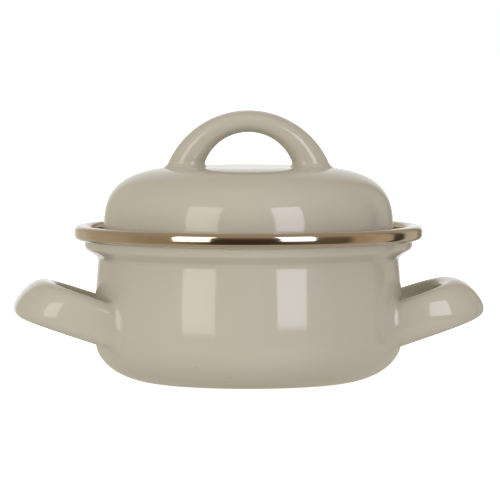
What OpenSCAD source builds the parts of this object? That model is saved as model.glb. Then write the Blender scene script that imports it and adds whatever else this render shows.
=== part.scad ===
// Small enamelled casserole with two loop handles, a steel rim band and a drop-in lid.
// Millimetres, +Z up. The origin is the middle of the base, on the table.
// +X points to the right handle, and -Y to the front.

/* [Pot] */
// Outside diameter of the wall at its widest
pot_d = 113; // [111:0.5:120]
// Height from the table to the top of the rim band
pot_h = 57.8; // [54:0.2:75]
// Height of the ledge and the rim, from the neck up
rim_h = 13.4; // [12.6:0.1:18]
// Height of the rounded corner between base and wall
corner_h = 18; // [10:0.5:24]
// Fullness of that corner, where 2 is an ellipse and more is squarer
corner_full = 2.3; // [2:0.1:3]
// Diameter of the flat that the pot stands on
foot_d = 58; // [40:1:80]
// Width of the ring that touches the table
foot_w = 5; // [2:0.5:10]
// Height that the middle of the base is raised
base_rise = 0.8; // [0.2:0.1:2]
// Width of the slope between that ring and the raised middle
base_slope = 3.2; // [1:0.2:6]
// Thickness of the enamelled sheet
wall = 1.2; // [0.8:0.1:1.4]
// Width of the ledge that carries the lid, from the neck to the upright edge
ledge_w = 5; // [4:0.1:7]
// Slope of that ledge
ledge_angle = 34; // [30:1:50]
// Radius of the hollow under the ledge
neck_round = 2.6; // [2:0.1:4]
// Radius above the ledge, where the edge turns upright
ledge_round = 2.5; // [1.5:0.1:2.5]
// Inner radius of the rolled edge's bends
roll_bend = 0.25; // [0.1:0.05:0.6]

/* [Rim band] */
// Outside diameter of the band
rim_d = 128; // [120:0.5:134]
// Width of the rim, from the upright edge to the band's outside
rim_w = 3.8; // [3.4:0.1:5]
// Height of the band
band_h = 5.4; // [4.8:0.1:6]
// Thickness of the band's strip
band_t = 0.5; // [0.3:0.05:0.6]
// Room between the band and the rolled edge
band_fit = 0.05; // [0.02:0.01:0.1]
// Room between the end of the rolled edge and the band's lower bend
roll_room = 0.2; // [0.1:0.1:0.5]
// Depth that the band reaches down inside the pot
band_lip = 1.5; // [0.5:0.1:2]
// Gap between the band's lower hem and the upright edge
hem_gap = 0.5; // [0.2:0.1:1]

/* [Lid] */
// Width of the lid's flange outside its wall
flange_w = 4.75; // [3:0.05:8]
// Height from the underside of the flange to the top
lid_h = 29.8; // [27:0.1:40]
// Diameter of the flat middle of the top
lid_flat_d = 32; // [10:1:50]
// Height of the rounded shoulder
shoulder_h = 24; // [12:0.5:24]
// Fullness of the shoulder, where 2 is an ellipse and more is squarer
shoulder_full = 3; // [2:0.1:4]
// Thickness of the lid's enamelled sheet
lid_wall = 1.2; // [0.8:0.1:1.6]
// Radius between the lid's wall and its flange
flange_round = 1.5; // [0.8:0.1:2]
// Gap between the flange and the ledge that it rests on
seat_gap = 0.3; // [0.1:0.05:0.6]
// Gap round the flange inside the rim band
lid_play = 0.5; // [0.3:0.1:1]
// Angle that the lid is turned in its seat
lid_turn = -5; // [-90:1:90]

/* [Side handles] */
// Width over the outside of a loop's legs
loop_span = 57; // [44:1:64]
// Length of a loop's middle line from the wall's widest line to its outer end
loop_reach = 28.5; // [24:0.5:40]
// Height at which a loop's middle plane meets the wall
loop_z = 23.8; // [20:0.2:27]
// Upward tilt of a loop
loop_tilt = 18.5; // [0:0.5:25]
// Lean of the strap's upper edge towards the pot
loop_lean = 20; // [0:1:30]
// Fullness of the loop's outline, where 2 is an ellipse and more is squarer
loop_full = 3.1; // [2:0.1:3.5]
// Width of the loop's strap
loop_w = 15.8; // [12:0.1:20]
// Thickness of the strap at the loop's outer end
loop_end_t = 10.7; // [6:0.1:12]
// Thickness of the strap at the wall
loop_foot_t = 9; // [6:0.1:14]

/* [Lid handle] */
// Width over the outside of the arch's feet
arch_span = 60; // [50:1:70]
// Height of the arch above the lid's top
arch_rise = 20.6; // [16:0.2:30]
// Width of the arch's strap, front to back
arch_w = 16.5; // [10:0.5:20]
// Thickness of the strap at the crown
arch_crown_t = 8.1; // [5:0.1:11]
// Thickness of the strap at the feet
arch_foot_t = 13.6; // [8:0.1:16]

/* [Hollow handles] */
// Thickness of the half shells
shell_t = 1; // [0.6:0.1:2]
// Fullness of the strap's cross-section, where 2 is an ellipse
strap_full = 2.3; // [2:0.1:3.5]
// Radius of the enamelled weld at the handles' feet
weld_round = 3; // [0.5:0.1:4]
// Depth that the weld's hollow runs into the wall before it would lie flat on it
weld_bite = 0.15; // [0.1:0.05:0.4]

/* [Hidden] */
$fn = 96;

enamel = "#b9b2a0";
steel = "#cfc9bf";

// Steps along an outline's round stretches, along a handle and its legs, and round half a strap's section
bend_steps = 8;
curve_steps = 24;
bow_steps = 32;
leg_steps = 18;
strap_steps = 8;

pot_r = pot_d / 2;
rim_r = rim_d / 2;
mouth_r = rim_r - rim_w;
neck_r = mouth_r - ledge_w;
neck_z = pot_h - rim_h;
foot_r = foot_d / 2;

// The wall bows inwards from its widest line to the neck on one large arc
wall_rise = neck_z - corner_h;
wall_draw = pot_r - neck_r;
wall_bow = (wall_rise * wall_rise + wall_draw * wall_draw) / (2 * wall_draw);
wall_lean = asin(wall_rise / wall_bow);

// The neck's hollow, and where the ledge leaves it
neck_centre = [neck_r, neck_z] + neck_round * [cos(wall_lean), sin(wall_lean)];
ledge_start = neck_centre + neck_round * [-sin(ledge_angle), cos(ledge_angle)];
ledge_end_r = mouth_r - ledge_round * (1 - sin(ledge_angle));
ledge_rise = (ledge_end_r - ledge_start.x) * tan(ledge_angle);
edge_z = ledge_start.y + ledge_rise + ledge_round * cos(ledge_angle);

// The band wraps the rolled edge, which ends above the band's lower bend
inner_bend = roll_bend + wall + band_fit;
band_round = inner_bend + band_t;
roll_z = pot_h - band_round;
roll_r = rim_r - band_round;
band_z = pot_h - band_h;
roll_end_z = band_z + band_round + roll_room;

// The lid's flange rests on the ledge's inner face
ledge_in = ledge_start + wall * [-sin(ledge_angle), cos(ledge_angle)];
flange_r = mouth_r - wall - band_fit - band_t - lid_play;
flange_tip_r = flange_r - lid_wall / 2;
lid_r = flange_r - flange_w;
flange_lift = (lid_wall / 2 + seat_gap) / cos(ledge_angle);
flange_z = ledge_in.y + (flange_tip_r - ledge_in.x) * tan(ledge_angle) + flange_lift;
flange_top = flange_z + lid_wall / 2;
lid_top = flange_z - lid_wall / 2 + lid_h;
lid_flat_r = lid_flat_d / 2;
shoulder_w = lid_r - lid_flat_r;

// Depth that the handles' feet run into the walls before they are cut to them
loop_sink = 18;
arch_sink = 4;

// Points on an arc of radius r round c
function arc(c, r, from, to, steps = bend_steps) = [
    for (i = [0:steps])
        let (a = from + (to - from) * i / steps)
        c + r * [cos(a), sin(a)]
];

// Point at angle a on a superellipse with half axes p and q
function full_point(p, q, full, a) =
    let (s = pow(pow(abs(cos(a)), full) + pow(abs(sin(a)), full), -1 / full))
    [p * s * cos(a), q * s * sin(a)];

function reverse(list) = [for (i = [len(list) - 1:-1:0]) list[i]];

function unit(v) = v / norm(v);

// A path moved sideways by d, to the left of its direction
function beside(path, d) = [
    for (i = [0:len(path) - 1])
        let (t = unit(path[min(i + 1, len(path) - 1)] - path[max(i - 1, 0)]))
        path[i] + d * [-t.y, t.x]
];

// Outside of the pot from the middle of its base to its neck
function pot_wall_path() = concat(
    [[0, base_rise], [foot_r - foot_w - base_slope, base_rise], [foot_r - foot_w, 0]],
    [for (i = [0:curve_steps])
        let (p = full_point(pot_r - foot_r, corner_h, corner_full, 90 * (i / curve_steps - 1)))
        [foot_r + p.x, corner_h + p.y]],
    [for (p = arc([pot_r - wall_bow, corner_h], wall_bow, 0, wall_lean)) if (p.y > corner_h) p]
);

// Outside of the pot from its neck, where the wall's path ends, to the end of the rolled edge
function pot_edge_path() = concat(
    arc(neck_centre, neck_round, 180 + wall_lean, 90 + ledge_angle),
    arc([mouth_r - ledge_round, edge_z], ledge_round, ledge_angle - 90, 0),
    arc([mouth_r + roll_bend, roll_z], roll_bend, 180, 90),
    arc([roll_r, roll_z], roll_bend, 90, 0),
    [[roll_r + roll_bend, roll_end_z]]
);

module pot_body() color(enamel) {
    edge = pot_edge_path();
    outside = concat(pot_wall_path(), [for (i = [1:len(edge) - 1]) edge[i]]);
    rotate_extrude()
        polygon(concat(outside, reverse(beside(outside, wall))));
}

module rim_band() color(steel) {
    inside = concat(
        [[mouth_r - wall - band_fit, roll_z - band_lip]],
        arc([mouth_r + roll_bend, roll_z], inner_bend, 180, 90),
        arc([roll_r, roll_z], inner_bend, 90, 0),
        arc([roll_r, band_z + band_round], inner_bend, 0, -90),
        [[mouth_r + hem_gap, band_z + band_t]]
    );
    rotate_extrude()
        polygon(concat(inside, reverse(beside(inside, band_t))));
}

// Outside of the lid from the middle of its top to the flange
function lid_path() = concat(
    [[0, lid_top]],
    [for (i = [0:curve_steps])
        let (p = full_point(shoulder_w, shoulder_h, shoulder_full, 90 * (1 - i / curve_steps)))
        [lid_flat_r + p.x, lid_top - shoulder_h + p.y]],
    arc([lid_r + flange_round, flange_top + flange_round], flange_round, 180, 270),
    [[flange_tip_r, flange_top]]
);

module lid_shell() color(enamel) {
    outside = lid_path();
    edge = arc([flange_tip_r, flange_z], lid_wall / 2, 90, -90);
    rotate_extrude()
        polygon(concat(outside, edge, reverse(beside(outside, -lid_wall))));
}

// Height of the lid's top surface at radius r
function lid_surface(r) =
    let (k = min(max(r - lid_flat_r, 0) / shoulder_w, 1))
    lid_top - shoulder_h * (1 - pow(1 - pow(k, shoulder_full), 1 / shoulder_full));

// Radius of the pot's wall at height z
function wall_radius(z) =
    z > corner_h
        ? pot_r - wall_bow * (1 - cos(asin((z - corner_h) / wall_bow)))
        : foot_r + (pot_r - foot_r) * pow(1 - pow((corner_h - z) / corner_h, corner_full), 1 / corner_full);

// Extra width of a strap at distance d from the wall that it is welded to
function weld_flare(d) =
    let (k = weld_round - min(max(d + weld_bite, 0), weld_round))
    weld_round - sqrt(weld_round * weld_round - k * k);

// One closed ring of a half shell, between a point on the bow's outer line and one on its inner line.
// place turns [across, along, side] into a point of the part, and gap is its distance to the wall.
function half_ring(outer, inner, width, side, place, gap) =
    let (
        middle = (outer + inner) / 2,
        half_t = norm(outer - inner) / 2,
        out = unit(outer - inner),
        skin = function (inset, i)
            let (
                s = full_point(half_t - inset, width / 2 - inset, strap_full, 180 * i / strap_steps),
                p = middle + s.x * out,
                d = gap(place([p.x, p.y, side * s.y])),
                flare = inset > 0 ? 0 : weld_flare(d),
                dir = unit([s.x / half_t, s.y * 2 / width]),
                q = p + flare * dir.x * out
            )
            place([q.x, q.y, side * (s.y + flare * dir.y)])
    )
    concat(
        [for (i = [0:strap_steps]) skin(0, i)],
        [for (i = [strap_steps:-1:0]) skin(shell_t, i)]
    );

// A half shell swept between the outer and the inner line of a bow
module half_shell(outer, inner, width, side, place, gap) {
    rings = [
        for (k = [0:len(outer) - 1])
            half_ring(outer[k], inner[k], width, side, place, gap)
    ];
    count = len(rings[0]);
    last = len(rings) - 1;
    sides = [
        for (k = [0:last - 1], i = [0:count - 1])
            let (a = k * count + i, b = k * count + (i + 1) % count)
            each [[a, b, b + count], [a, b + count, a + count]]
    ];
    ends = [
        for (i = [0:strap_steps - 1])
            let (a = i, b = i + 1, c = count - 2 - i, d = count - 1 - i, e = last * count)
            each [[a, c, b], [a, d, c], [a + e, b + e, c + e], [a + e, c + e, d + e]]
    ];
    faces = concat(sides, ends);
    polyhedron(
        points = [for (ring = rings) each ring],
        faces = side > 0 ? [for (f = faces) reverse(f)] : faces
    );
}

// Line of a loop handle: two straight legs joined by a half superellipse.
// Its steps are shortest at the wall, where the weld's flare needs them.
function loop_line(half_span, reach) =
    let (
        legs = [for (i = [0:leg_steps - 1]) loop_sink * (i / leg_steps - 1)],
        bow = [for (i = [0:bow_steps])
            full_point(half_span, reach, loop_full, 90 * (1 - cos(180 * i / bow_steps)))]
    )
    concat(
        [for (y = legs) [half_span, y]],
        bow,
        [for (y = reverse(legs)) [-half_span, y]]
    );

// Half a loop handle on the right of the pot, cut to the pot's wall
module loop_half(side) {
    place = function (p)
        let (y = p.y - p.z * tan(loop_lean))
        [
            pot_r + y * cos(loop_tilt) - p.z * sin(loop_tilt),
            p.x,
            loop_z + y * sin(loop_tilt) + p.z * cos(loop_tilt)
        ];
    gap = function (p) norm([p.x, p.y]) - wall_radius(p.z);
    difference() {
        half_shell(
            loop_line(loop_span / 2, loop_reach),
            loop_line(loop_span / 2 - loop_foot_t, loop_reach - loop_end_t),
            loop_w, side, place, gap
        );
        rotate_extrude()
            polygon(concat(pot_wall_path(), [[0, neck_z]]));
    }
}

module right_handle_top() color(enamel) loop_half(1);

module right_handle_bottom() color(enamel) loop_half(-1);

module left_handle_top() color(enamel) rotate(180) loop_half(1);

module left_handle_bottom() color(enamel) rotate(180) loop_half(-1);

// Line of the lid handle: an arc over the given span and rise, run on below the lid's top
function arch_line(half_span, rise) =
    let (
        r = (half_span * half_span + rise * rise) / (2 * rise),
        foot = acos((r - rise - arch_sink) / r)
    )
    [for (i = [0:bow_steps])
        let (a = foot * cos(180 * i / bow_steps))
        [r * sin(a), r * cos(a) - r + rise]];

// Half the lid handle, cut to the lid's top
module arch_half(side) rotate(lid_turn) {
    place = function (p) [p.x, p.z, lid_top + p.y];
    gap = function (p) p.z - lid_surface(norm([p.x, p.y]));
    difference() {
        half_shell(
            arch_line(arch_span / 2, arch_rise),
            arch_line(arch_span / 2 - arch_foot_t, arch_rise - arch_crown_t),
            arch_w, side, place, gap
        );
        rotate_extrude()
            polygon(concat(lid_path(), [[0, flange_top]]));
    }
}

module lid_handle_front() color(enamel) arch_half(-1);

module lid_handle_back() color(enamel) arch_half(1);

pot_body();
rim_band();
left_handle_top();
left_handle_bottom();
right_handle_top();
right_handle_bottom();
lid_shell();
lid_handle_front();
lid_handle_back();
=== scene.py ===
"""Dresses a small enamelled casserole for rendering: pot, rim band, two loop handles and a drop-in lid.
Sizes are in metres. Angles are in radians, unless a comment says degrees."""
from math import asin, cos, hypot, pi, radians, sin, sqrt, tan

import bpy
from mathutils import Matrix, Vector


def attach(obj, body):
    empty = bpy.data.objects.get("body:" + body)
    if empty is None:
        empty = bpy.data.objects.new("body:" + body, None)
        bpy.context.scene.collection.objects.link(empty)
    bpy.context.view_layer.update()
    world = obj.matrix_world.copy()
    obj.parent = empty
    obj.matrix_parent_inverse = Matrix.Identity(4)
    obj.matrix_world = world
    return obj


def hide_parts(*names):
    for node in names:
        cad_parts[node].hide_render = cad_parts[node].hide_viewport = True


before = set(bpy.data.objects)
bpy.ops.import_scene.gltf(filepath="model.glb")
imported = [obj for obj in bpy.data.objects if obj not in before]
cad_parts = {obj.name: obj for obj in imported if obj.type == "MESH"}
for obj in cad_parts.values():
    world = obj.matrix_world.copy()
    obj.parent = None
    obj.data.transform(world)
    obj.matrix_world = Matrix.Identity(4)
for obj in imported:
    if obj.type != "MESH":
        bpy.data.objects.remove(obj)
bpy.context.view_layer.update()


# Pot
# One deep-drawn steel pot: a rounded base, a wall that draws in to a neck, a sloping ledge for the
# lid and an upright edge that is rolled outwards. It is dipped in putty enamel and fired.

belly_radius = 0.0565
neck_radius = 0.0552
neck_height = 0.0444
corner_height = 0.018
corner_fullness = 2.3
foot_radius = 0.029
foot_width = 0.005
base_rise = 0.0008
base_slope = 0.0032
pot_sheet = 0.0012
mouth_radius = 0.0602
ledge_angle = radians(34)
neck_bend = 0.0026
ledge_bend = 0.0025
rim_height = 0.0578
rim_radius = 0.064
band_corner = 0.002
roll_bend = 0.00025
roll_drop = 0.0012
corner_steps = 40
round_steps = 180
crease_angle = radians(40)
same_place = 1e-7
merge_distance = 1e-6


def full_point(half_width, half_height, fullness, angle):
    """Point at an angle on a superellipse, where a fullness of 2 is an ellipse and more is squarer."""
    c, s = cos(angle), sin(angle)
    scale = (abs(c) ** fullness + abs(s) ** fullness) ** (-1 / fullness)
    return Vector((half_width * scale * c, half_height * scale * s))


def arc(centre, radius, start, end, steps=10):
    """Points on an arc, from one angle to another."""
    angles = [start + (end - start) * i / steps for i in range(steps + 1)]
    return [Vector(centre) + radius * Vector((cos(a), sin(a))) for a in angles]


def beside(path, distance):
    """A path moved sideways, to the left of its direction."""
    moved = []
    for i, point in enumerate(path):
        along = (path[min(i + 1, len(path) - 1)] - path[max(i - 1, 0)]).normalized()
        moved.append(point + distance * Vector((-along.y, along.x)))
    return moved


def without_repeats(path):
    """A path with no two points in one place."""
    return [p for i, p in enumerate(path) if i == 0 or (p - path[i - 1]).length > same_place]


def turn_profile(name, path):
    """A plane merged to one point, extruded along a closed profile and spun round the upright axis."""
    bpy.ops.object.select_all(action="DESELECT")
    bpy.ops.mesh.primitive_plane_add(size=0.001, location=(0, 0, 0))
    piece = bpy.context.object
    piece.name = name
    bpy.ops.object.mode_set(mode="EDIT")
    bpy.ops.mesh.select_all(action="SELECT")
    bpy.ops.mesh.merge(type="CENTER")
    bpy.ops.transform.translate(value=(path[0].x, 0, path[0].y))
    for here, there in zip(path, path[1:]):
        step = there - here
        bpy.ops.mesh.extrude_vertices_move(TRANSFORM_OT_translate={"value": (step.x, 0, step.y)})
    bpy.ops.mesh.select_all(action="SELECT")
    bpy.ops.mesh.spin(steps=round_steps, angle=2 * pi, center=(0, 0, 0), axis=(0, 0, 1))
    bpy.ops.mesh.select_all(action="SELECT")
    bpy.ops.mesh.remove_doubles(threshold=merge_distance)
    bpy.ops.mesh.normals_make_consistent(inside=False)
    bpy.ops.object.mode_set(mode="OBJECT")
    bpy.ops.object.shade_smooth_by_angle(angle=crease_angle)
    return piece


wall_rise = neck_height - corner_height
wall_draw = belly_radius - neck_radius
wall_bow = (wall_rise ** 2 + wall_draw ** 2) / (2 * wall_draw)
wall_lean = asin(wall_rise / wall_bow)
neck_centre = Vector((neck_radius, neck_height)) + neck_bend * Vector((cos(wall_lean), sin(wall_lean)))
ledge_start = neck_centre + neck_bend * Vector((-sin(ledge_angle), cos(ledge_angle)))
ledge_end_radius = mouth_radius - ledge_bend * (1 - sin(ledge_angle))
ledge_rise = (ledge_end_radius - ledge_start.x) * tan(ledge_angle)
edge_height = ledge_start.y + ledge_rise + ledge_bend * cos(ledge_angle)
roll_height = rim_height - band_corner
roll_radius = rim_radius - band_corner

base = [
    Vector((0, base_rise)),
    Vector((foot_radius - foot_width - base_slope, base_rise)),
    Vector((foot_radius - foot_width, 0)),
]
corner = []
for i in range(corner_steps + 1):
    turn = pi / 2 * (i / corner_steps - 1)
    p = full_point(belly_radius - foot_radius, corner_height, corner_fullness, turn)
    corner.append(Vector((foot_radius + p.x, corner_height + p.y)))
wall = arc((belly_radius - wall_bow, corner_height), wall_bow, 0, wall_lean)
edge = (
    arc(neck_centre, neck_bend, pi + wall_lean, pi / 2 + ledge_angle)
    + arc((mouth_radius - ledge_bend, edge_height), ledge_bend, ledge_angle - pi / 2, 0)
    + arc((mouth_radius + roll_bend, roll_height), roll_bend, pi, pi / 2)
    + arc((roll_radius, roll_height), roll_bend, pi / 2, 0)
    + [Vector((roll_radius + roll_bend, roll_height - roll_drop))]
)
pot_outside = without_repeats(base + corner + wall + edge)
pot_inside = beside(pot_outside, pot_sheet)
pot = turn_profile("pot", pot_outside + pot_inside[::-1] + pot_outside[:1])


def linear(hex_colour):
    """A linear colour with alpha from an sRGB hex value."""
    parts = [int(hex_colour[i:i + 2], 16) / 255 for i in (1, 3, 5)]
    return [c / 12.92 if c <= 0.04045 else ((c + 0.055) / 1.055) ** 2.4 for c in parts] + [1]


def add_node(tree, kind, settings, inputs):
    """Adds a node, with its settings and with its inputs linked or set."""
    node = tree.nodes.new("ShaderNode" + kind)
    for name, value in settings.items():
        setattr(node, name, value)
    for name, value in inputs.items():
        if isinstance(value, bpy.types.NodeSocket):
            tree.links.new(value, node.inputs[name])
        else:
            node.inputs[name].default_value = value
    return node


def fired_enamel(name, pale, deep, speck):
    """Vitreous enamel fired on steel: a thick glassy coat, so it mirrors lamps sharply but a little
    wavily, drifts slightly in colour where the dip ran thicker, and holds a few dark specks."""
    drift_size = 0.03
    speck_spacing = 0.014
    speck_core = 0.000168
    speck_edge = 0.000308
    speck_depth = 0.6
    wave_length = 0.022
    wave_height = 0.00008
    peel_size = 0.0025
    peel_height = 0.0000015
    material = bpy.data.materials.new(name)
    material.use_nodes = True
    tree = material.node_tree
    shader = tree.nodes["Principled BSDF"]
    place = tree.nodes.new("ShaderNodeTexCoord").outputs["Object"]
    # Wide drifts of colour. A colour Mix takes its share at input 0, and its two colours at 6 and 7.
    drift = add_node(tree, "TexNoise", {}, {"Vector": place, "Scale": 1 / drift_size, "Detail": 3})
    coat = add_node(
        tree, "Mix", {"data_type": "RGBA"},
        {0: drift.outputs["Fac"], 6: linear(deep), 7: linear(pale)},
    )
    # Rare specks about half a millimetre across, from a field of points
    cells = add_node(tree, "TexVoronoi", {}, {"Vector": place, "Scale": 1 / speck_spacing})
    dots = add_node(
        tree, "MapRange", {},
        {
            "Value": cells.outputs["Distance"],
            "From Min": speck_core / speck_spacing,
            "From Max": speck_edge / speck_spacing,
            "To Min": speck_depth,
            "To Max": 0,
        },
    )
    colour = add_node(
        tree, "Mix", {"data_type": "RGBA"},
        {0: dots.outputs["Result"], 6: coat.outputs[2], 7: linear(speck)},
    )
    tree.links.new(colour.outputs[2], shader.inputs["Base Color"])
    # Slow waves under a fine orange peel
    waves = add_node(tree, "TexNoise", {}, {"Vector": place, "Scale": 1 / wave_length, "Detail": 1})
    peel = add_node(tree, "TexNoise", {}, {"Vector": place, "Scale": 1 / peel_size, "Detail": 1})
    swell = add_node(
        tree, "Bump", {},
        {"Height": waves.outputs["Fac"], "Strength": 1, "Distance": wave_height},
    )
    skin = add_node(
        tree, "Bump", {},
        {
            "Height": peel.outputs["Fac"],
            "Strength": 1,
            "Distance": peel_height,
            "Normal": swell.outputs["Normal"],
        },
    )
    tree.links.new(skin.outputs["Normal"], shader.inputs["Normal"])
    gloss = add_node(
        tree, "MapRange", {},
        {"Value": drift.outputs["Fac"], "To Min": 0.05, "To Max": 0.09},
    )
    tree.links.new(gloss.outputs["Result"], shader.inputs["Roughness"])
    shader.inputs["IOR"].default_value = 1.56
    return material


putty_enamel = fired_enamel("putty_vitreous_enamel", "#bcb5a4", "#b7b09e", "#6e675a")
pot.data.materials.append(putty_enamel)
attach(pot, "pot")
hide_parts("pot_body")


# Rim band
# A strip of stainless steel, spun over the pot's rolled edge and hemmed under it, then polished.
# It has no enamel.

band_height = 0.0054
band_strip = 0.0005
band_fit = 0.00005
band_lip = 0.0015
hem_gap = 0.0005
line_spacing = 0.0003
smear_size = 0.012

band_bottom = rim_height - band_height
band_bend = roll_bend + pot_sheet + band_fit
band_inside = without_repeats(
    [Vector((mouth_radius - pot_sheet - band_fit, roll_height - band_lip))]
    + arc((mouth_radius + roll_bend, roll_height), band_bend, pi, pi / 2)
    + arc((roll_radius, roll_height), band_bend, pi / 2, 0)
    + arc((rim_radius - band_corner, band_bottom + band_corner), band_corner - band_strip, 0, -pi / 2)
    + [Vector((mouth_radius + hem_gap, band_bottom + band_strip))]
)
band_outside = beside(band_inside, band_strip)
rim_band = turn_profile("rim_band_polished", band_inside + band_outside[::-1] + band_inside[:1])

# Polished stainless steel: a grey mirror with a slight warm cast, drawn out along the polishing lines.
polished_steel = bpy.data.materials.new("polished_stainless_steel")
polished_steel.use_nodes = True
steel_tree = polished_steel.node_tree
steel_shader = steel_tree.nodes["Principled BSDF"]
steel_place = steel_tree.nodes.new("ShaderNodeTexCoord").outputs["Object"]
steel_axes = add_node(steel_tree, "SeparateXYZ", {}, {"Vector": steel_place})
flat_place = add_node(
    steel_tree, "CombineXYZ", {},
    {"X": steel_axes.outputs["X"], "Y": steel_axes.outputs["Y"]},
)
steel_radius = add_node(
    steel_tree, "VectorMath", {"operation": "LENGTH"},
    {0: flat_place.outputs["Vector"]},
)
# The polishing lines run round the band, so they change only with radius and height. They are drawn
# further apart than real ones, to show at all.
round_place = add_node(
    steel_tree, "CombineXYZ", {},
    {"X": steel_radius.outputs["Value"], "Y": steel_axes.outputs["Z"]},
)
lines = add_node(
    steel_tree, "TexNoise", {},
    {"Vector": round_place.outputs["Vector"], "Scale": 1 / line_spacing, "Detail": 2},
)
smears = add_node(
    steel_tree, "TexNoise", {},
    {"Vector": steel_place, "Scale": 1 / smear_size, "Detail": 3},
)
steel_colour = add_node(
    steel_tree, "Mix", {"data_type": "RGBA"},
    {0: smears.outputs["Fac"], 6: linear("#cdc7bc"), 7: linear("#d8d3c9")},
)
steel_tree.links.new(steel_colour.outputs[2], steel_shader.inputs["Base Color"])
steel_gloss = add_node(
    steel_tree, "MapRange", {},
    {"Value": lines.outputs["Fac"], "To Min": 0.05, "To Max": 0.12},
)
steel_tree.links.new(steel_gloss.outputs["Result"], steel_shader.inputs["Roughness"])
steel_shader.inputs["Metallic"].default_value = 1
rim_band.data.materials.append(polished_steel)
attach(rim_band, "pot")
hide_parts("rim_band")


# Side handles
# Each loop is two pressed half shells, welded along their middle, ground flush and welded to the
# wall. The enamel runs over both welds, so the loop grows out of the wall in one smooth hollow.

loop_half_span = 0.0285
loop_reach = 0.0285
loop_height = 0.0238
loop_tilt = radians(18.5)
loop_lean = radians(20)
loop_fullness = 3.1
loop_width = 0.0158
loop_end_thickness = 0.0107
loop_foot_thickness = 0.009
loop_sink = 0.0176
strap_fullness = 2.3
loop_weld = 0.0034
weld_bite = 0.0003
weld_depth = 0.0006
settling_passes = 4
leg_steps = 42
bow_steps = 96


def wall_gap(point):
    """Level distance of a point from the pot's wall, negative inside it."""
    z = point.z
    if z > corner_height:
        radius = belly_radius - wall_bow + sqrt(wall_bow ** 2 - (z - corner_height) ** 2)
    else:
        k = min((corner_height - z) / corner_height, 1) ** corner_fullness
        radius = foot_radius + (belly_radius - foot_radius) * (1 - k) ** (1 / corner_fullness)
    return hypot(point.x, point.y) - radius


def slope_at(point, gap):
    """Direction in which a gap grows fastest, with a length that says how fast."""
    step = 0.00001
    both_ways = [(gap(point + step * axis), gap(point - step * axis)) for axis in Matrix.Identity(3)]
    return Vector([(ahead - behind) / (2 * step) for ahead, behind in both_ways])


def weld_to(point, sideways, gap, hollow):
    """Moves a point of a strap sideways along a wall, so that the strap flares into it on a round
    hollow. What lies behind the wall's face is brought just under it, where the sheet hides it."""
    slope = slope_at(point, gap)
    normal = slope.normalized()
    distance = gap(point) / slope.length
    if distance > hollow:
        return point
    rest = hollow - min(max(distance + weld_bite, 0), hollow)
    flare = hollow - sqrt(hollow ** 2 - rest ** 2)
    along_wall = (sideways - sideways.dot(normal) * normal).normalized()
    moved = point + flare * along_wall
    # A gap is only nearly a distance, so the point settles in a few passes
    for _ in range(settling_passes):
        slope = slope_at(moved, gap)
        moved += (max(distance, -weld_depth) - gap(moved) / slope.length) * slope.normalized()
    return moved


def wrap_strap(name, outer_line, inner_line, width, place, gap, hollow):
    """A flat grid wrapped round the strap between an outer and an inner line, with its feet welded
    to a wall. Inside the wall, the last rings at each end close to a point."""
    around = 48
    closing = 8
    count = len(outer_line)
    bpy.ops.object.select_all(action="DESELECT")
    bpy.ops.mesh.primitive_grid_add(x_subdivisions=around, y_subdivisions=count - 1, size=1)
    piece = bpy.context.object
    piece.name = name
    for vertex in piece.data.vertices:
        ring = round((vertex.co.y + 0.5) * (count - 1))
        angle = 2 * pi * round((vertex.co.x + 0.5) * around) / around
        outer, inner = outer_line[ring], inner_line[ring]
        out = (outer - inner).normalized()
        half_thickness = (outer - inner).length / 2
        open_share = min(ring, count - 1 - ring, closing) / closing
        section = open_share * full_point(half_thickness, width / 2, strap_fullness, angle)
        across = (outer + inner) / 2 + section.x * out
        bulge = Vector((section.x / half_thickness, section.y * 2 / width)).normalized()
        sideways = Vector((bulge.x * out.x, bulge.x * out.y, bulge.y))
        point = place @ Vector((across.x, across.y, section.y))
        placed_sideways = (place.to_3x3() @ sideways).normalized()
        vertex.co = weld_to(point, placed_sideways, gap, open_share * hollow)
    bpy.ops.object.mode_set(mode="EDIT")
    bpy.ops.mesh.select_all(action="SELECT")
    bpy.ops.mesh.remove_doubles(threshold=same_place)
    bpy.ops.mesh.select_all(action="SELECT")
    bpy.ops.mesh.normals_make_consistent(inside=False)
    bpy.ops.object.mode_set(mode="OBJECT")
    bpy.ops.object.shade_smooth()
    piece.data.materials.append(putty_enamel)
    return piece


def loop_line(half_span, reach):
    """Line of a loop: two straight legs joined by a half superellipse, with short steps at the wall."""
    legs = [loop_sink * (i / leg_steps - 1) for i in range(leg_steps)]
    turns = [pi / 2 * (1 - cos(pi * i / bow_steps)) for i in range(bow_steps + 1)]
    bow = [full_point(half_span, reach, loop_fullness, turn) for turn in turns]
    return (
        [Vector((half_span, y)) for y in legs]
        + bow
        + [Vector((-half_span, y)) for y in reversed(legs)]
    )


# Columns of the placing: across the loop, along its reach, and along the leaning strap
loop_along = Vector((cos(loop_tilt), 0, sin(loop_tilt)))
loop_upright = Vector((-sin(loop_tilt), 0, cos(loop_tilt))) - tan(loop_lean) * loop_along
loop_frame = Matrix((Vector((0, 1, 0)), loop_along, loop_upright)).transposed().to_4x4()
right_place = Matrix.Translation((belly_radius, 0, loop_height)) @ loop_frame
left_place = Matrix.Rotation(pi, 4, "Z") @ right_place
loop_outer = loop_line(loop_half_span, loop_reach)
loop_inner = loop_line(loop_half_span - loop_foot_thickness, loop_reach - loop_end_thickness)

for side, place in (("right", right_place), ("left", left_place)):
    handle = wrap_strap(f"{side}_handle", loop_outer, loop_inner, loop_width, place, wall_gap, loop_weld)
    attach(handle, "pot")
    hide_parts(f"{side}_handle_top", f"{side}_handle_bottom")


# Lid
# One drawn steel lid: a flat middle, a round shoulder and a level flange that rests on the pot's
# ledge inside the band. It has the pot's enamel.

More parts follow.
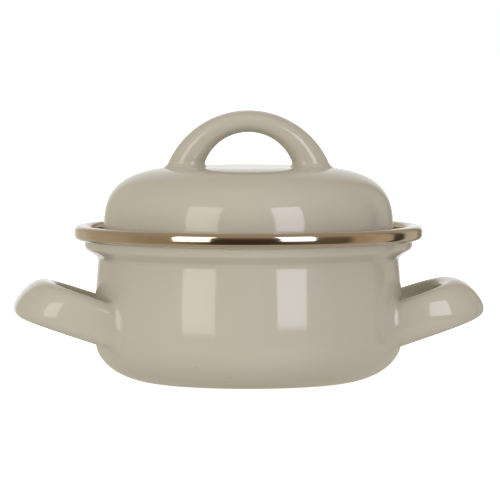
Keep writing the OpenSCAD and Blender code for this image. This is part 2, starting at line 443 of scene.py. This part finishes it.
lid_radius = 0.0532
lid_height = 0.0298
lid_flat_radius = 0.016
shoulder_height = 0.024
shoulder_fullness = 3
lid_sheet = 0.0012
flange_bend = 0.0015
seat_gap = 0.0003
lid_play = 0.0005
shoulder_steps = 60

ledge_inside = ledge_start + pot_sheet * Vector((-sin(ledge_angle), cos(ledge_angle)))
flange_tip = mouth_radius - pot_sheet - band_fit - band_strip - lid_play - lid_sheet / 2
flange_lift = (lid_sheet / 2 + seat_gap) / cos(ledge_angle)
flange_middle = ledge_inside.y + (flange_tip - ledge_inside.x) * tan(ledge_angle) + flange_lift
flange_top = flange_middle + lid_sheet / 2
lid_top = flange_middle - lid_sheet / 2 + lid_height
shoulder_width = lid_radius - lid_flat_radius

shoulder = []
for i in range(shoulder_steps + 1):
    turn = pi / 2 * (1 - i / shoulder_steps)
    p = full_point(shoulder_width, shoulder_height, shoulder_fullness, turn)
    shoulder.append(Vector((lid_flat_radius + p.x, lid_top - shoulder_height + p.y)))
lid_outside = without_repeats(
    [Vector((0, lid_top))]
    + shoulder
    + arc((lid_radius + flange_bend, flange_top + flange_bend), flange_bend, pi, 3 * pi / 2)
    + [Vector((flange_tip, flange_top))]
)
flange_edge = arc((flange_tip, flange_middle), lid_sheet / 2, pi / 2, -pi / 2)
lid_profile = without_repeats(lid_outside + flange_edge + beside(lid_outside, -lid_sheet)[::-1])
lid = turn_profile("lid", lid_profile + lid_profile[:1])
lid.data.materials.append(putty_enamel)
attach(lid, "lid")
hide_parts("lid_shell")


# Lid handle
# A hollow arch of two pressed steel halves, welded together and to the lid's top, and enamelled over
# as the loops are. It is turned a little, as the lid lies in its seat.

arch_half_span = 0.03
arch_rise = 0.0206
arch_width = 0.0165
arch_crown_thickness = 0.0081
arch_foot_thickness = 0.0136
arch_sink = 0.004
arch_weld = 0.0024
arch_steps = 120
lid_turn = radians(-5)


def lid_gap(point):
    """Height of a point over the lid's face, negative below it."""
    k = min(max(hypot(point.x, point.y) - lid_flat_radius, 0) / shoulder_width, 1)
    drop = shoulder_height * (1 - (1 - k ** shoulder_fullness) ** (1 / shoulder_fullness))
    return point.z - lid_top + drop


def arch_line(half_span, rise):
    """Line of the arch: an arc over its span and rise, run on below the lid's top."""
    radius = (half_span ** 2 + rise ** 2) / (2 * rise)
    foot = pi / 2 - asin((radius - rise - arch_sink) / radius)
    angles = [foot * cos(pi * i / arch_steps) for i in range(arch_steps + 1)]
    return [Vector((radius * sin(a), radius * cos(a) - radius + rise)) for a in angles]


arch_frame = Matrix((Vector((1, 0, 0)), Vector((0, 0, 1)), Vector((0, 1, 0)))).transposed().to_4x4()
arch_place = Matrix.Rotation(lid_turn, 4, "Z") @ Matrix.Translation((0, 0, lid_top)) @ arch_frame
arch_outer = arch_line(arch_half_span, arch_rise)
arch_inner = arch_line(arch_half_span - arch_foot_thickness, arch_rise - arch_crown_thickness)
lid_handle = wrap_strap("lid_handle", arch_outer, arch_inner, arch_width, arch_place, lid_gap, arch_weld)
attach(lid_handle, "lid")
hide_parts("lid_handle_front", "lid_handle_back")


# Floor
# A plain white studio table, which stays white to the camera apart from the pot's shadow. The glaze
# and the band mirror only a small round of it, as a painted shadow of the pot in putty tones like the
# pot's own, darker in front, with the room beyond.

table_size = 12
table_cuts = 7
table_mirror_radius = 0.14
table_front = -0.06
table_back = 0.02
table_glow = 0.8
table_bounce = 0.66

bpy.ops.object.select_all(action="DESELECT")
bpy.ops.mesh.primitive_plane_add(size=table_size, location=(0, 0, 0))
floor = bpy.context.object
floor.name = "floor"
bpy.ops.object.mode_set(mode="EDIT")
bpy.ops.mesh.subdivide(number_cuts=table_cuts)
bpy.ops.object.mode_set(mode="OBJECT")
table_white = bpy.data.materials.new("white_studio_table")
table_white.use_nodes = True
table_tree = table_white.node_tree
table_tree.nodes.remove(table_tree.nodes["Principled BSDF"])
table_place = table_tree.nodes.new("ShaderNodeTexCoord").outputs["Object"]
table_reach = add_node(table_tree, "VectorMath", {"operation": "LENGTH"}, {0: table_place})
past_edge = add_node(
    table_tree, "Math", {"operation": "GREATER_THAN"},
    {0: table_reach.outputs["Value"], 1: table_mirror_radius},
)
seen = table_tree.nodes.new("ShaderNodeLightPath")
glow = add_node(table_tree, "Emission", {}, {"Color": linear("#ffffff"), "Strength": table_glow})
matt = add_node(table_tree, "BsdfDiffuse", {}, {"Color": linear("#f4f3f1")})
shown = add_node(table_tree, "AddShader", {}, {0: glow.outputs["Emission"], 1: matt.outputs["BSDF"]})
bounced = add_node(table_tree, "Emission", {}, {"Color": linear("#ffffff"), "Strength": table_bounce})
table_axes = add_node(table_tree, "SeparateXYZ", {}, {"Vector": table_place})
# Painted shadow: the round that the glaze and the band mirror is a darker putty colour standing for the
# pot's shadow on the table, darkest in front
table_depth = add_node(
    table_tree, "MapRange", {},
    {"Value": table_axes.outputs["Y"], "From Min": table_front, "From Max": table_back},
)
table_painted_shadow = add_node(
    table_tree, "Mix", {"data_type": "RGBA"},
    {0: table_depth.outputs["Result"], 6: linear("#b4a58e"), 7: linear("#c6bead")},
)
mirrored_painted_shadow = add_node(table_tree, "Emission", {}, {"Color": table_painted_shadow.outputs[2]})
nothing = table_tree.nodes.new("ShaderNodeBsdfTransparent")
mirrored = add_node(
    table_tree, "MixShader", {},
    {0: past_edge.outputs["Value"], 1: mirrored_painted_shadow.outputs["Emission"], 2: nothing.outputs["BSDF"]},
)
for_lamps = add_node(
    table_tree, "MixShader", {},
    {0: seen.outputs["Is Glossy Ray"], 1: bounced.outputs["Emission"], 2: mirrored.outputs["Shader"]},
)
for_all = add_node(
    table_tree, "MixShader", {},
    {0: seen.outputs["Is Camera Ray"], 1: for_lamps.outputs["Shader"], 2: shown.outputs["Shader"]},
)
table_tree.links.new(for_all.outputs["Shader"], table_tree.nodes["Material Output"].inputs["Surface"])
floor.data.materials.append(table_white)


# Studio
# A white tent, brightest overhead, and three panels light the pot evenly, two from the front and one
# from behind. Two upright softboxes give the highlights alone: the glaze and the band mirror them and
# the brown room, but not the panels.

# Degrees that the camera stands to the right of the front: the lamps and the room turn with it
view_azimuth = -5.2
lamp_aim = Vector((0, 0, 0.05))
tent_at_horizon = 0.05
tent_overhead = 1.05

# Each lamp's name, degrees from the camera, distance, height, width, tallness, watts and colour, and
# whether it is mirrored
for name, azimuth, distance, height, width, tallness, power, colour, is_mirrored in (
    ("left_softbox", -36.8, 1, 0.338, 0.48, 0.764, 2.8, "#fff2e6", True),
    ("right_softbox", 32, 1, 0.35, 0.43, 0.74, 3.7, "#f6f2ff", True),
    ("left_panel", -45, 1.4, 0.22, 0.8, 0.36, 8.6, "#ffffff", False),
    ("right_panel", 45, 1.4, 0.22, 0.8, 0.36, 7.1, "#f6f3ff", False),
    ("back_panel", 180, 1.4, 0.4, 1.2, 0.7, 13, "#ffffff", False),
):
    bpy.ops.object.light_add(type="AREA")
    lamp = bpy.context.object
    lamp.name = name
    lamp.data.shape = "RECTANGLE"
    lamp.data.size = width
    lamp.data.size_y = tallness
    lamp.data.energy = power
    lamp.data.color = linear(colour)[:3]
    lamp.visible_camera = False
    lamp.visible_diffuse = not is_mirrored
    lamp.visible_glossy = is_mirrored
    direction = radians(view_azimuth + azimuth)
    lamp.location = (distance * sin(direction), -distance * cos(direction), height)
    lamp.rotation_euler = (lamp_aim - lamp.location).to_track_quat("-Z", "Y").to_euler()

room = bpy.data.worlds.new("studio_room")
bpy.context.scene.world = room
room.use_nodes = True
room_tree = room.node_tree
room_tree.nodes.remove(room_tree.nodes["Background"])
look = room_tree.nodes.new("ShaderNodeTexCoord").outputs["Generated"]
look_axes = add_node(room_tree, "SeparateXYZ", {}, {"Vector": look})
look_back = add_node(room_tree, "Math", {"operation": "MULTIPLY"}, {0: look_axes.outputs["Y"], 1: -1})
look_round = add_node(
    room_tree, "Math", {"operation": "ARCTAN2"},
    {0: look_axes.outputs["X"], 1: look_back.outputs["Value"]},
)
look_turn = add_node(
    room_tree, "MapRange", {},
    {"Value": look_round.outputs["Value"], "From Min": -pi, "From Max": pi},
)
walls = add_node(room_tree, "ValToRGB", {}, {"Fac": look_turn.outputs["Result"]})
# What stands round the camera: its two ends, in degrees from the camera, and its colour
for left_end, right_end, colour in (
    (-174, -166, "#ffffff"),  # white sweep behind the pot
    (-157, -142, "#cbc1ae"),  # left wall, palest near the sweep
    (-122, -98, "#b9a58a"),
    (-66, -54, "#9f8a6b"),
    (-22, 14, "#3f3126"),  # dark room behind the camera
    (40, 69, "#64543f"),  # dim corner
    (76, 82, "#ab9274"),  # right wall
    (96, 109, "#bea58a"),
    (113, 123, "#483d35"),  # dark doorway
    (128, 147, "#c5b7a2"),  # pale wall
    (152, 159, "#8c8071"),  # grey door frame
    (167, 180, "#ffffff"),  # white sweep again
):
    for angle in (left_end, right_end):
        walls.color_ramp.elements.new((angle + view_azimuth + 180) / 360).color = linear(colour)
walls.color_ramp.elements[0].color = linear("#ffffff")
walls.color_ramp.elements[-1].color = linear("#ffffff")
# Higher up, the walls give way to a plain tan ceiling
look_up = add_node(
    room_tree, "MapRange", {},
    {"Value": look_axes.outputs["Z"], "From Min": -0.05, "From Max": 0.8},
)
surroundings = add_node(
    room_tree, "Mix", {"data_type": "RGBA"},
    {0: look_up.outputs["Result"], 6: walls.outputs["Color"], 7: linear("#ad997e")},
)
mirrored_room = add_node(room_tree, "Background", {}, {"Color": surroundings.outputs[2]})
look_side = add_node(
    room_tree, "MapRange", {},
    {"Value": look_axes.outputs["X"], "From Min": -1, "From Max": 1},
)
tent_colour = add_node(
    room_tree, "Mix", {"data_type": "RGBA"},
    {0: look_side.outputs["Result"], 6: linear("#fffdf8"), 7: linear("#efeff8")},
)
tent_strength = add_node(
    room_tree, "MapRange", {},
    {"Value": look_axes.outputs["Z"], "To Min": tent_at_horizon, "To Max": tent_overhead},
)
tent_light = add_node(
    room_tree, "Background", {},
    {"Color": tent_colour.outputs[2], "Strength": tent_strength.outputs["Result"]},
)
white_sweep = add_node(room_tree, "Background", {}, {"Color": linear("#ffffff")})
ray = room_tree.nodes.new("ShaderNodeLightPath")
lit_room = add_node(
    room_tree, "MixShader", {},
    {
        0: ray.outputs["Is Glossy Ray"],
        1: tent_light.outputs["Background"],
        2: mirrored_room.outputs["Background"],
    },
)
whole_room = add_node(
    room_tree, "MixShader", {},
    {
        0: ray.outputs["Is Camera Ray"],
        1: lit_room.outputs["Shader"],
        2: white_sweep.outputs["Background"],
    },
)
room_tree.links.new(whole_room.outputs["Shader"], room_tree.nodes["World Output"].inputs["Surface"])


# Camera
# A long lens, two metres away, a little above the rim and a little to the left, as in the photograph.
# Its picture is measured in pixels of the photograph, by their size at the pot's axis.

view_elevation = radians(3.15)
view_distance = 2.0
view_target = Vector((0, 0, 0.0484))
picture_pixels = 500
pixel_size = 0.36655e-3
shift_x_pixels = 1.5
shift_y_pixels = 0.4

view_turn = radians(view_azimuth)
bpy.ops.object.camera_add()
camera = bpy.context.object
camera.name = "camera"
camera.location = view_target + view_distance * Vector((
    sin(view_turn) * cos(view_elevation),
    -cos(view_turn) * cos(view_elevation),
    sin(view_elevation),
))
camera.rotation_euler = (view_target - camera.location).to_track_quat("-Z", "Y").to_euler()
# Sensor and lens are in millimetres
camera.data.sensor_width = 36
camera.data.lens = camera.data.sensor_width * view_distance / (picture_pixels * pixel_size)
camera.data.shift_x = shift_x_pixels / picture_pixels
camera.data.shift_y = shift_y_pixels / picture_pixels
bpy.context.scene.camera = camera
bpy.context.scene.view_settings.view_transform = "Standard"
